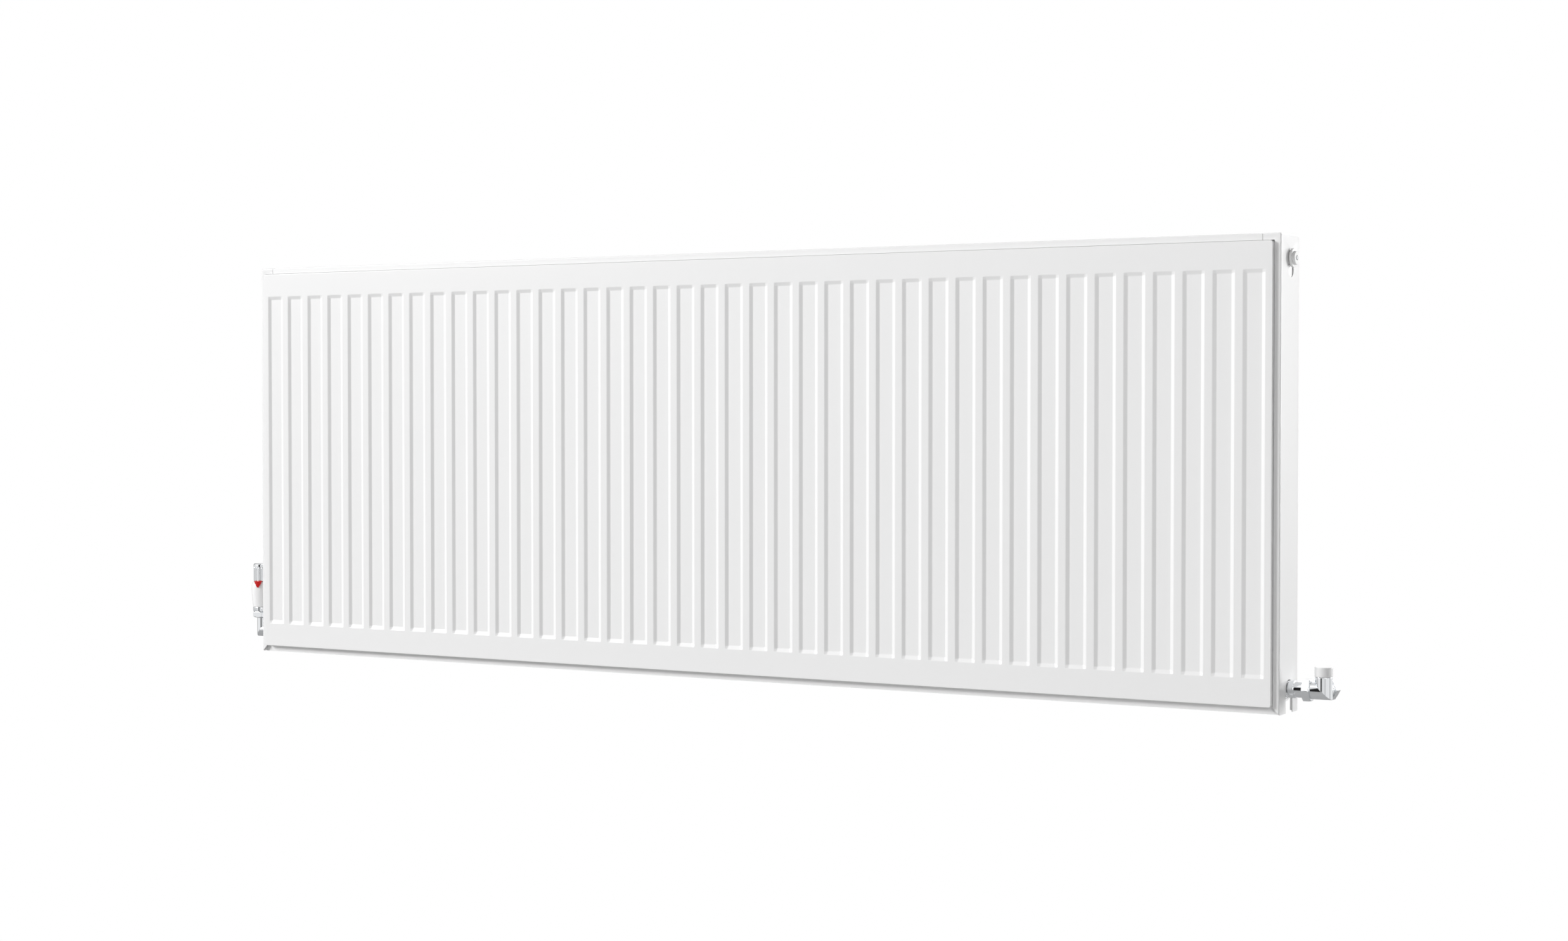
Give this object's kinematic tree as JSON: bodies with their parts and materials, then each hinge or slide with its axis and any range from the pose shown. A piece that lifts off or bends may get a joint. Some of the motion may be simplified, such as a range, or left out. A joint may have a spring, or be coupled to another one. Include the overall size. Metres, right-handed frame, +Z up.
{
  "type": "panel radiator",
  "caption": "Wall-hung white steel panel radiator with fluted face, side covers, top grille, corner thermostatic valve and corner lockshield valve.",
  "frame": {"origin": "centre of the four wall-screw holes, on the wall's face, at the radiator's mid height and mid length", "axes": "+X along the length from the thermostatic valve to the lockshield valve, +Y into the wall, +Z up; the panel's face looks along -Y"},
  "size_m": [1.4896, 0.088, 0.5],
  "materials": {
    "white_paint": "powder-coated gloss white on pressed steel",
    "fin_paint": "primer and thin white coat on folded steel",
    "bracket_steel": "zinc-plated pressed steel",
    "grey_plastic": "moulded nylon",
    "white_plastic": "moulded ABS",
    "red_plastic": "moulded ABS",
    "chrome": "polished chrome plate on brass",
    "brass": "machined brass",
    "steel": "bright stainless steel",
    "rubber": "moulded EPDM"
  },
  "bodies": {
    "radiator": {"front_panel": "white_paint", "back_panel": "white_paint", "convector_fins": "fin_paint", "top_tapping_bosses": "white_paint", "bottom_tapping_bosses": "white_paint", "hanger_lugs": "white_paint", "upper_wall_brackets": "bracket_steel", "lower_wall_brackets": "bracket_steel", "bracket_inserts": "grey_plastic", "air_vent": "white_plastic", "blanking_plug": "white_plastic", "plug_washers": "rubber", "trv_tail": "chrome", "trv_union_nut": "chrome", "trv_body": "chrome", "trv_gland": "brass", "trv_spring": "steel", "trv_compression_nut": "chrome", "trv_olive": "brass", "trv_head_nut": "chrome", "trv_head_collar": "chrome", "trv_head_base": "white_plastic", "trv_sensor": "brass", "lockshield_tail": "chrome", "lockshield_union_nut": "chrome", "lockshield_body": "chrome", "lockshield_gland": "brass", "lockshield_compression_nut": "chrome", "lockshield_olive": "brass"},
    "grille": {"top_grille": "white_paint"},
    "cover_left": {"side_cover_left": "white_paint"},
    "cover_right": {"side_cover_right": "white_paint"},
    "handwheel": {"trv_handwheel": "chrome", "trv_pointer": "red_plastic"},
    "valve_pin": {"trv_pin": "steel", "trv_valve_washer": "rubber"},
    "lockshield_cover": {"lockshield_cap": "white_plastic"},
    "lockshield_stem": {"lockshield_spindle": "brass"},
    "bleed_stem": {"bleed_screw": "chrome"}
  },
  "joints": [
    {"name": "grille_lift", "type": "slide", "parent": "radiator", "child": "grille", "axis": [0, 0, 1], "range_m": [0, 0.03]},
    {"name": "cover_left_lift", "type": "slide", "parent": "radiator", "child": "cover_left", "axis": [0, 0, 1], "range_m": [0, 0.012]},
    {"name": "cover_right_lift", "type": "slide", "parent": "radiator", "child": "cover_right", "axis": [0, 0, 1], "range_m": [0, 0.012]},
    {"name": "handwheel_turn", "type": "hinge", "parent": "radiator", "child": "handwheel", "pos_m": [-0.7236, -0.055, -0.16], "axis": [0, 0, 1], "range_deg": [0, 300]},
    {"name": "valve_pin_travel", "type": "slide", "parent": "radiator", "child": "valve_pin", "axis": [0, 0, 1], "range_m": [0, 0.0025], "deforming": ["trv_spring"]},
    {"name": "lockshield_cap_pull", "type": "slide", "parent": "radiator", "child": "lockshield_cover", "axis": [0, 0, 1], "range_m": [0, 0.02]},
    {"name": "lockshield_turn", "type": "hinge", "parent": "radiator", "child": "lockshield_stem", "pos_m": [0.7376, -0.055, -0.21], "axis": [0, 0, 1], "range_deg": [0, 1080]},
    {"name": "bleed_screw_turn", "type": "hinge", "parent": "radiator", "child": "bleed_stem", "pos_m": [0.7, -0.055, 0.225], "axis": [1, 0, 0], "range_deg": [0, 540]}
  ],
  "couplings": [
    {"joint": "valve_pin_travel", "follows": "handwheel_turn", "m_per_rad": 0.00047746}
  ]
}
